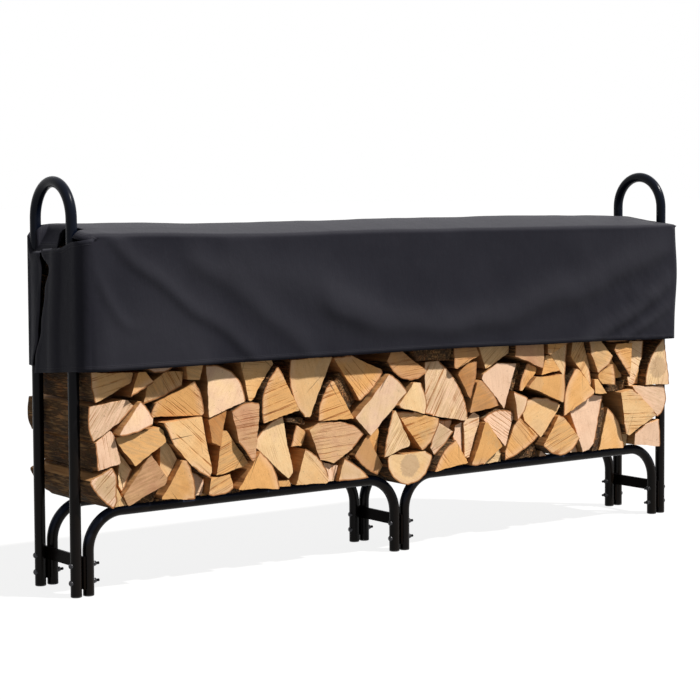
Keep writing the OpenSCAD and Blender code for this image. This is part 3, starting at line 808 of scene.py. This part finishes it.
def cover_shape(look):
    """The cover as one grid of points, with its quads, cut coordinates and carried values.

    Rows run from the front hem up the front, round a long edge, over a roof that falls as a power of the
    distance from its ridge, and down to the back hem. Columns run along the store; past the last station
    they turn an upright corner, boxy in front and tucked in to the leg behind, and cross the end to a
    slit, and there the rows over the top are left out. Ridge, edges and hems change by stations along the
    length. Folds push the grid along its normals.
    """
    half, corner = look.cover_half, look.corner_radius
    start_x = look.cover_reach - corner
    climb, bent, over = cover_rows()
    along, turned, across = cover_columns()
    face = np.where(over <= 0, -1.0, 1.0)
    front, skirt = face < 0, bent == 0
    left, wing = along < 0, turned > 0

    # Section at each station of the length
    at = along * start_x
    ridge = stations(
        at,
        [-1.18, -0.97, -0.62, -0.24, 0.43, 0.89, 1.06, 1.18],
        [1.069, 1.068, 1.0625, 1.0645, 1.066, 1.061, 1.055, 1.0445],
    )
    front_edge = stations(
        at,
        [-1.18, -1.0, -0.6, -0.27, 0.21, 0.83, 1.18],
        [1.048, 1.045, 1.0368, 1.0385, 1.0365, 1.0310, 1.0280],
    )
    back_edge = stations(at, [-1.18, -0.8, 0.8, 1.18], [1.064, 1.040, 1.038, 1.056])
    radius = stations(at, [-1.18, -0.8, 0.9, 1.18], [0.014, 0.015, 0.015, 0.007])
    power = stations(at, [-1.18, -0.9, 0.9, 1.15], [1.6, 1.5, 1.5, 1.0])
    hem_front = stations(at, [-1.18, 0, 0.7, 1.18], [0.656, 0.652, 0.641, 0.630])
    hem_back = stations(at, [-1.18, -0.4, 0.5, 1.18], [0.657, 0.648, 0.654, 0.650])
    edge = np.where(front, front_edge, back_edge)
    hem = np.where(front, hem_front - np.where(left, 0.020, 0.005) * across, hem_back)
    skirt_top = edge - radius
    edge_turn = np.radians(78)
    swing = bent * edge_turn
    edge_y = half - radius
    y = np.where(bent < 1, face * (edge_y + radius * np.cos(swing)), over * edge_y)
    z_bend = edge - radius * (1 - np.sin(swing))
    z_roof = ridge + (edge - ridge) * np.abs(over) ** power
    z = np.where(bent < 1, z_bend, z_roof)
    z = np.where(skirt, hem + (skirt_top - hem) * climb, z)

    # The top's ends step back at the hoop's legs and droop between them
    size = np.abs(y)
    leg_in, leg_out, back_turn = (0.086, 0.091), (0.125, 0.131), (0.130, 0.150)
    at_leg = ease(*leg_in, size) * (1 - ease(*leg_out, size)) * ~skirt
    behind = np.minimum(ease(*back_turn, y) + (skirt & ~front), 1)
    past = np.clip(size - half + corner, 0, corner)
    reach = start_x + np.sqrt(corner**2 - past**2) * (0.9 + 0.1 * skirt)
    reach = reach + (look.back_reach - reach) * behind
    reach = reach + (look.top_reach - reach) * at_leg
    x = along * reach
    from_end = reach * (1 - np.abs(along))
    places = [-0.20, -0.131, -0.125, -0.090, -0.070, -0.040, 0.08, 0.090, 0.125, 0.135, 0.20]
    drop_left = stations(y, places, [0.017, 0.017, 0, 0, 0.014, 0.075, 0.075, 0, 0, 0.060, 0.060])
    drop_right = stations(y, places, [0.004, 0.004, 0, 0, 0.045, 0.045, 0.045, 0, 0, 0.050, 0.050])
    drop = np.where(left, drop_left, drop_right)
    z = z - drop * np.clip(1 - from_end / (0.012 + drop * 0.5), 0, 1) * ~skirt

    # Ends: sinking round the corner, then across to the slit, whose two edges lean
    flap_front = stations(at, [-1.18, 1.18], [1.012, 1.021]) - np.where(left, 0.012, 0.006) * across
    flap_back = stations(at, [-1.18, 1.18], [0.995, 1.0])
    low_top = (np.where(front, flap_front, flap_back) - hem) / (skirt_top - hem)
    sunk = 1 - (1 - low_top) * (0.35 * ease(0.0, 1.0, turned) + 0.65 * ease(0.0, 0.4, across))
    z = np.where(wing, hem + (z - hem) * sunk, z)
    slit = slit_edges(z, front, left)
    box_x = start_x + corner * np.sin(turned * np.pi / 2)
    box_y = half - corner + corner * np.cos(turned * np.pi / 2)
    tuck_x, tuck_y, tuck_last = tucked_corner(look, turned)
    side_y = np.where(front, box_y, tuck_y)
    last_y = np.where(front, half - corner, tuck_last)
    x = np.where(wing, np.sign(along) * np.where(front, box_x, tuck_x), x)
    y = np.where(wing, face * side_y + (slit - face * last_y) * across, y)
    base = np.stack([x, y, z], axis=-1)

    normal = np.cross(np.gradient(base, axis=1), np.gradient(base, axis=0))
    normal /= np.linalg.norm(normal, axis=-1, keepdims=True) + 1e-12
    fold = cover_folds(x, y, z, front, skirt, wing, left, turned, across, bent)
    points = base + normal * fold[..., None]

    rows, columns = z.shape
    place = np.arange(rows * columns).reshape(rows, columns)
    quads = np.stack([place[:-1, :-1], place[:-1, 1:], place[1:, 1:], place[1:, :-1]], -1)
    whole_rows = skirt[:-1] & skirt[1:] & (face[:-1] == face[1:])
    whole_columns = ~(wing[:-1] | wing[1:])
    used, quads = np.unique(quads[whole_rows | whole_columns], return_inverse=True)

    # The cut is measured along a row of the skirt and over the section at mid-length
    skirt_row = 10
    u = np.linalg.norm(np.diff(base, axis=1), axis=-1)[skirt_row]
    v = np.linalg.norm(np.diff(base, axis=0), axis=-1)[:, columns // 2]
    u, v = (np.concatenate([[0], np.cumsum(steps)]) for steps in (u, v))
    cut = np.stack(np.broadcast_arrays(u[None, :], v[:, None]), -1)
    gaps = [
        np.minimum(v, v[-1] - v)[:, None] + 0 * x,
        np.where(wing, np.abs(slit - y), 1.0),
        np.where(skirt | wing, 1.0, from_end),
        np.where(skirt & wing, hem + (skirt_top - hem) * sunk - z, 1.0),
    ]
    # crest: the fold's height, from which the cloth paints a highlight on its crests
    full_crest = 0.008
    values = {
        "edge": np.min(gaps, axis=0).ravel()[used],
        "crest": np.clip(fold / full_crest, 0, 1).ravel()[used],
    }
    points, cut = points.reshape(-1, 3)[used], cut.reshape(-1, 2)[used]
    return points, quads.reshape(-1, 4), cut, values, (u[-1], v[-1])


def crest_fold(x, z, points, above, below, height):
    """A fold on a curve through the points: a bell of the distance from it, fading at both ends."""
    places, levels = np.transpose(points)
    curve = np.polyfit(places, levels, min(len(points) - 1, 3))
    x = np.clip(x, places[0] - 0.1, places[-1] + 0.1)
    away = (z - np.polyval(curve, x)) * np.cos(np.arctan(np.polyval(np.polyder(curve), x)))
    shown = ease(places[0] - 0.05, places[0] + 0.04, x) * ease(places[-1] + 0.08, places[-1] - 0.06, x)
    return height * np.exp(-((away / np.where(away > 0, above, below)) ** 2)) * shown


def cover_folds(x, y, z, front, skirt, wing, left, turned, across, bent):
    """Height of the folds in metres.

    Broad billows are ripples. Folds of the front hang from the two top corners, the widest in a swag
    between them, with finer crumples low on the right; the back has them turned about. The ends hang in
    upright waves that clear the legs.
    """
    rng = np.random.default_rng(FOLD_SEED)
    broad = 0.0016 * ripple(rng, [x, z * 1.5, y], 0.2) + 0.0010 * ripple(rng, [x, z, y], 0.06)
    broad = broad + 0.0003 * ripple(rng, [x, z, y], 0.02)
    along = np.where(front, x, -x)
    bend = 0.012 * ripple(rng, [along, z], 0.07)
    panel = sum(crest_fold(along, z + bend, *crest) for crest in CRESTS)
    crumple = 0.0014 * ripple(rng, [x + z * 0.7, z * 0.3 - x * 0.4, y], 0.016)
    panel = panel + crumple * ease(0.65, 0.95, along) * ease(0.98, 0.80, z)

    waves = 0.0045 * np.sin(y * 52 + 1.1 + 3 * z) + 0.002 * ripple(rng, [x, y, z * 0.4], 0.03)
    flare = 0.007 * ease(0.955, 1.0, z) * ease(0.07, 0.11, y) * left
    ends = np.maximum(waves, -0.0002) + 0.004 * ease(0.3, 0.9, across) + flare
    drawn_in = 0.008 * (1 - np.exp(-(((z - 0.86) / 0.11) ** 2))) * np.sin(np.pi * turned)
    ends = ends * ease(0.0, 0.25, across) - drawn_in * (front & ~left)
    top = np.maximum(broad + 0.002, 0.0) + 0.0012
    hung = broad * ease(1.03, 0.93, z) + panel
    fold = np.where(skirt, hung, panel * (1 - bent) * 0.8 + top * bent)
    fold = fold * (0.25 + 0.75 * ease(1.170, 1.12, np.abs(x)))
    return np.clip(np.where(wing, ends, fold), -0.008, 0.017)


def paint(name, description, default):
    """A colour that a user may change."""
    return FloatVectorProperty(name=name, description=description, subtype="COLOR", default=default)


def metres(name, description, default):
    """A length that a user may change."""
    return FloatProperty(name=name, description=description, unit="LENGTH", default=default)


def number(name, description, default):
    """A bare number that a user may change."""
    return FloatProperty(name=name, description=description, default=default)


class FrameLook(bpy.types.PropertyGroup):
    """Sizes and colours of the coated frame and its fixings."""

    # Coat, low coat and under coat differ by painted reflection: bluish sky above, warm ground low down
    # and beneath
    coat: paint("Coat", "Powder coat of the hoops", (0.0026, 0.0046, 0.0115))
    coat_low_ground_reflection: paint("Low coat", "Coat near the ground, warmer", (0.0052, 0.0032, 0.0020))
    coat_worn: paint("Worn coat", "Coat where it has dulled", (0.0055, 0.0060, 0.0085))
    # Painted reflection of the sky on low coat that faces up
    coat_sky_reflection: paint("Top coat", "Bluish bloom on low coat that faces up", (0.014, 0.023, 0.050))
    coat_under_ground_reflection: paint("Under coat", "Brownish low coat that faces down", (0.013, 0.0075, 0.0050))
    plastic: paint("Foot cap", "Plastic of the foot caps", (0.012, 0.012, 0.012))
    scuff: paint("Scuff", "Foot caps where they have stood", (0.075, 0.072, 0.068))
    zinc: paint("Zinc", "Plating of the bolts", (0.06, 0.06, 0.065))
    zinc_dull: paint("Dull zinc", "Plating where it has dulled", (0.022, 0.022, 0.024))
    tube_gloss: number("Tube gloss", "Reflection of the tubes' coat", 0.085)
    brace_gloss: number("Brace gloss", "Reflection of the braces' coat", 0.015)
    # Shares of the painted sky reflection on the tubes and on the braces
    tube_sky_reflection: number("Tube bloom", "Bloom on the tubes' coat", 1.0)
    brace_sky_reflection: number("Brace bloom", "Bloom on the braces' coat", 0.1)
    head_radius: metres("Head radius", "Radius of the bolts' domed heads", 0.0088)
    upper_bolt: metres("Upper bolt", "Height of the upper bolts", 0.092)
    lower_bolt: metres("Lower bolt", "Height of the lower bolts", 0.042)
    bolt_tail: metres("Bolt tail", "Length of bolt beyond the tube", 0.018)


class LogLook(bpy.types.PropertyGroup):
    """Grain and colours of the split logs."""

    step: metres("Outline step", "Spacing of points round a log", 0.004)
    rows: IntProperty(name="Rows", description="Loops along a log", default=12)
    bark_from: metres("Bark from", "Distance from the middle past which end sides keep bark", 1.09)
    end_tan: paint("Tan end", "Commonest colour of the sawn ends", (0.82, 0.52, 0.245))
    end_orange: paint("Orange end", "Warmest sawn ends", (0.76, 0.415, 0.15))
    end_cream: paint("Cream end", "Yellowish pale sawn ends", (0.86, 0.62, 0.34))
    end_pale: paint("Pale end", "Pinkish pale sawn ends", (0.845, 0.585, 0.41))
    end_brown: paint("Brown grain", "Darkening by grain and saw lines", (0.55, 0.34, 0.18))
    end_stain: paint("Stain", "Weather stain on some ends", (0.52, 0.36, 0.19))
    end_heart: paint("Heartwood", "Middle of the rounder logs", (0.62, 0.43, 0.25))
    end_crack: paint("Crack", "Drying cracks", (0.12, 0.06, 0.025))
    side_red: paint("Red side", "Split sides, fresh", (0.50, 0.225, 0.07))
    side_tan: paint("Tan side", "Split sides, pale", (0.60, 0.355, 0.155))
    side_dark: paint("Dark side", "Torn streaks of the split sides", (0.22, 0.105, 0.045))
    bark_dark: paint("Dark bark", "Bark between its plates", (0.060, 0.034, 0.018))
    bark_grey: paint("Grey bark", "Weathered bark", (0.37, 0.205, 0.085))
    bark_red: paint("Inner bark", "Thin red layer under the bark", (0.40, 0.17, 0.06))
    furrow: paint("Furrow", "Bottom of the bark's furrows", (0.022, 0.012, 0.007))
    lichen: paint("Lichen", "Pale spots on the bark", (0.25, 0.23, 0.16))


class CoverLook(bpy.types.PropertyGroup):
    """Cut and colours of the cover."""

    cover_half: metres("Half depth", "Half the depth of the cover", 0.1915)
    cover_reach: metres("Reach", "Distance of the ends from the middle", 0.5 * 2.4030)
    corner_radius: metres("Corner radius", "Radius of the upright front corners", 0.040)
    back_radius: metres("Back radius", "Radius of the tucked back corners", 0.022)
    top_reach: metres("Top reach", "Where the top ends at the legs", 1.158)
    back_reach: metres("Back reach", "Where the back turns in to the legs", 1.152)
    back_tuck: metres("Back tuck", "How far the back corners are tucked in", 0.050)
    thickness: metres("Thickness", "Thickness of the cloth", 0.0014)
    cloth: paint("Cloth", "Colour of the cover", (0.020, 0.020, 0.027))
    cloth_dark: paint("Dark cloth", "Darker parts of the cover", (0.0155, 0.0155, 0.0215))
    # Painted highlight on the fold crests, and also the colour of real rubbed patches
    cloth_crest_highlight_and_rubbed: paint("Rubbed cloth", "Cover along its folds", (0.034, 0.034, 0.042))
    # Painted sky light: the paler cloth on the top, as if lit from above
    cloth_sky_lit_top: paint("Dusty cloth", "Cover where dust lies on its top", (0.050, 0.050, 0.058))
    thread: paint("Thread", "Sewing thread of the hems", (0.040, 0.040, 0.047))


class StageLook(bpy.types.PropertyGroup):
    """Camera, floor and lamps."""

    lens: FloatProperty(
        name="Lens", description="Focal length on a 36 mm sensor", unit="CAMERA", default=104.66
    )
    place: FloatVectorProperty(
        name="Camera",
        description="Place of the camera",
        subtype="XYZ",
        unit="LENGTH",
        default=(-4.02, -5.2277, 1.2149),
    )
    aim: FloatVectorProperty(
        name="Aim",
        description="Yaw, pitch and roll of the camera in degrees",
        default=(36.77, -3.559, -0.297),
    )
    shift: number("Shift", "Upward shift of the frame", -0.0714)
    key: number("Key", "Strength of the key lamp", 5.9)
    key_from: FloatVectorProperty(
        name="Key from",
        description="Direction to the key lamp",
        subtype="XYZ",
        default=(0.42, -0.45, 0.79),
    )
    key_angle: number("Key angle", "Width of the key lamp in degrees", 2.5)
    key_colour: paint("Key colour", "Colour of the key lamp", (1.0, 0.97, 0.93))
    sky: number("Sky", "Strength of the even light", 0.26)
    floor_half: metres("Floor", "Half the floor's side", 60.0)
    floor_drop: metres("Floor drop", "Depth of the floor under the feet", 0.0005)
    floor_white: number("Floor white", "Share of the floor that is its own white", 0.86)
    floor_pale: paint("Pale floor", "Floor as it is seen", (0.8, 0.8, 0.8))
    floor_dull: paint("Dull floor", "Floor as the store's surfaces see it", (0.12, 0.12, 0.12))


def coat_frame(look):
    """Finishes for the CAD nodes that stay."""
    coat = powder_coat(look, "powder_coat", look.tube_gloss, look.tube_sky_reflection)
    matt = powder_coat(look, "matt_coat", look.brace_gloss, look.brace_sky_reflection)
    for names, finish in ((TUBE_NODES, coat), (BRACE_NODES, matt), (CAP_NODES, moulded_cap(look))):
        for name in names:
            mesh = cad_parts[name].data
            mesh.materials.clear()
            mesh.materials.append(finish)


class COATED_OT_frame(bpy.types.Operator):
    """Coats the hoops, rails and braces and dulls the foot caps"""

    bl_idname = "log_store.coat_frame"
    bl_label = "Coat the frame"

    def execute(self, context):
        coat_frame(context.scene.store_frame)
        return {"FINISHED"}


class BOLTED_OT_legs(bpy.types.Operator):
    """Bolts each pair of legs together in two places"""

    bl_idname = "log_store.bolt_legs"
    bl_label = "Bolt the legs"

    def execute(self, context):
        look = context.scene.store_frame
        left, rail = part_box("left_hoop"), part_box("front_left_rail")
        right, next_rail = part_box("right_hoop"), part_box("front_right_rail")
        tube = rail[1][1] - rail[0][1]
        pairs = [
            (left[0][0], rail[0][0] + tube, 1),
            (rail[1][0] - tube, next_rail[0][0] + tube, 1),
            (right[1][0], next_rail[1][0] - tube, -1),
        ]
        leg_y = (rail[0][1] + rail[1][1]) / 2
        points, faces = [], []
        for near, far, way in pairs:
            shape, ring = bolt_surface(look.head_radius, abs(far - near), look.bolt_tail)
            for y in (leg_y, -leg_y):
                for z in (look.upper_bolt, look.lower_bolt):
                    faces.append(ring[:, ::way] + sum(map(len, points)))
                    points.append(shape * (way, 1, 1) + (near, y, z))
        piece = put_mesh("leg_bolts", np.concatenate(points), np.concatenate(faces), [dull_zinc(look)])
        piece.data.set_sharp_from_angle(angle=0.6)
        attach(piece, "root")
        return {"FINISHED"}


class SPLIT_OT_logs(bpy.types.Operator):
    """Splits and stacks the logs, coarser where the cover hides them"""

    bl_idname = "log_store.split_logs"
    bl_label = "Split the logs"

    def execute(self, context):
        look = context.scene.store_logs
        finishes = [sawn_end(look), split_side(look), rough_bark(look)]
        for k, node in enumerate(SEEN_LOGS):
            scraps = BARK_SCRAPS if node == "logs_packing" else []
            build_logs(node, finishes, look.step, look.rows, look.bark_from, SEEN_SEED + k, scraps)
        for k, node in enumerate(HIDDEN_LOGS):
            step = look.step * HIDDEN_STEPS
            build_logs(node, finishes, step, HIDDEN_ROWS, look.bark_from, HIDDEN_SEED + k)
        return {"FINISHED"}


class HUNG_OT_cover(bpy.types.Operator):
    """Hangs the cover over the stack and the hoops' legs"""

    bl_idname = "log_store.hang_cover"
    bl_label = "Hang the cover"

    def execute(self, context):
        look = context.scene.store_cover
        points, quads, cut, values, flat = cover_shape(look)
        piece = put_mesh("cover", points, quads, [cover_cloth(look)], values=values)
        corners = np.empty(len(piece.data.loops), np.int32)
        piece.data.loops.foreach_get("vertex_index", corners)
        layer = piece.data.uv_layers.new(name="cut")
        layer.data.foreach_set("uv", cut[corners].astype(np.float32).ravel())
        wall = piece.modifiers.new("cloth", "SOLIDIFY")
        wall.thickness = look.thickness
        wall.offset = 0
        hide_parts(*COVER_NODES)
        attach(piece, "root")
        wings = flat[0] - 2 * look.cover_reach
        flat[1] * flat[0] - wings * TOP_LENGTH
        return {"FINISHED"}


class LIT_OT_stage(bpy.types.Operator):
    """Sets the floor, the lamps and the camera"""

    bl_idname = "log_store.light_stage"
    bl_label = "Light the stage"

    def execute(self, context):
        look = context.scene.store_stage
        set_floor(look)
        set_light(look)
        set_camera(look)
        context.scene.view_settings.view_transform = "Standard"
        return {"FINISHED"}


def set_floor(look):
    """Pale floor, mostly its own white to the camera, so that the background is white with a shadow."""
    finish = Finish("pale_floor")
    corners = np.array([[-1, -1], [1, -1], [1, 1], [-1, 1]]) * look.floor_half
    points = np.column_stack([corners, np.full(4, -look.floor_drop)])
    seen = finish.white_where_seen(look.floor_white)
    pale = finish.blend(seen, look.floor_dull, look.floor_pale)
    finish.done({"Base Color": pale, "Roughness": 0.9})
    put_mesh("floor", points, np.array([[0, 1, 2, 3]]), [finish.material])


def stand(name, data, right, up, back, place):
    """Puts a lamp or a camera into the scene with those axes at that place."""
    thing = bpy.data.objects.new(name, data)
    axes = np.column_stack([right, up, back, place])
    thing.matrix_world = Matrix(np.vstack([axes, (0, 0, 0, 1)]).tolist())
    bpy.context.scene.collection.objects.link(thing)
    return thing


def set_light(look):
    """Even white surround and one wide key lamp from the right, the front and above."""
    surround = Finish("surround", world=True)
    surround.white_where_seen(1.0)
    bpy.context.scene.world = surround.done({"Color": (1, 1, 1), "Strength": look.sky})

    back = np.array(look.key_from) / np.linalg.norm(look.key_from)
    right = np.cross((0, 0, 1), back)
    right /= np.linalg.norm(right)
    lamp = bpy.data.lights.new("key", "SUN")
    lamp.energy = look.key
    lamp.angle = np.radians(look.key_angle)
    lamp.color = look.key_colour
    height = 6
    stand("key", lamp, right, np.cross(back, right), back, back * height)


def set_camera(look):
    """Camera at the photograph's viewing angle; its axes are worked out from yaw, pitch and roll."""
    yaw, pitch, roll = np.radians(look.aim)
    ahead = np.array([np.sin(yaw) * np.cos(pitch), np.cos(yaw) * np.cos(pitch), np.sin(pitch)])
    right = np.array([np.cos(yaw), -np.sin(yaw), 0])
    up = np.cross(right, ahead)
    right, up = right * np.cos(roll) + up * np.sin(roll), up * np.cos(roll) - right * np.sin(roll)
    lens = bpy.data.cameras.new("camera")
    lens.lens = look.lens
    lens.sensor_width = 36.0
    lens.sensor_fit = "HORIZONTAL"
    lens.shift_y = look.shift
    lens.clip_end = 200.0
    bpy.context.scene.camera = stand("camera", lens, right, up, -ahead, look.place)


OPERATORS = [COATED_OT_frame, BOLTED_OT_legs, SPLIT_OT_logs, HUNG_OT_cover, LIT_OT_stage]


class STORE_PT_panel(bpy.types.Panel):
    """Lists the steps that dress the log store"""

    bl_idname = "STORE_PT_panel"
    bl_label = "Log store"
    bl_space_type = "VIEW_3D"
    bl_region_type = "UI"
    bl_category = "Log store"

    def draw(self, context):
        for step in OPERATORS:
            self.layout.operator(step.bl_idname)


LOOKS = {
    "store_frame": FrameLook,
    "store_logs": LogLook,
    "store_cover": CoverLook,
    "store_stage": StageLook,
}


def register():
    """Registers the settings, the steps and the panel."""
    for name, look in LOOKS.items():
        bpy.utils.register_class(look)
        setattr(bpy.types.Scene, name, PointerProperty(type=look))
    for kind in OPERATORS + [STORE_PT_panel]:
        bpy.utils.register_class(kind)


def unregister():
    """Takes them out again."""
    for kind in [STORE_PT_panel] + OPERATORS[::-1]:
        bpy.utils.unregister_class(kind)
    for name, look in LOOKS.items():
        delattr(bpy.types.Scene, name)
        bpy.utils.unregister_class(look)


def main():
    """Runs the steps in order."""
    register()
    bpy.ops.log_store.light_stage()
    bpy.ops.log_store.coat_frame()
    bpy.ops.log_store.bolt_legs()
    bpy.ops.log_store.split_logs()
    bpy.ops.log_store.hang_cover()
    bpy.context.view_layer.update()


if __name__ == "__main__":
    main()
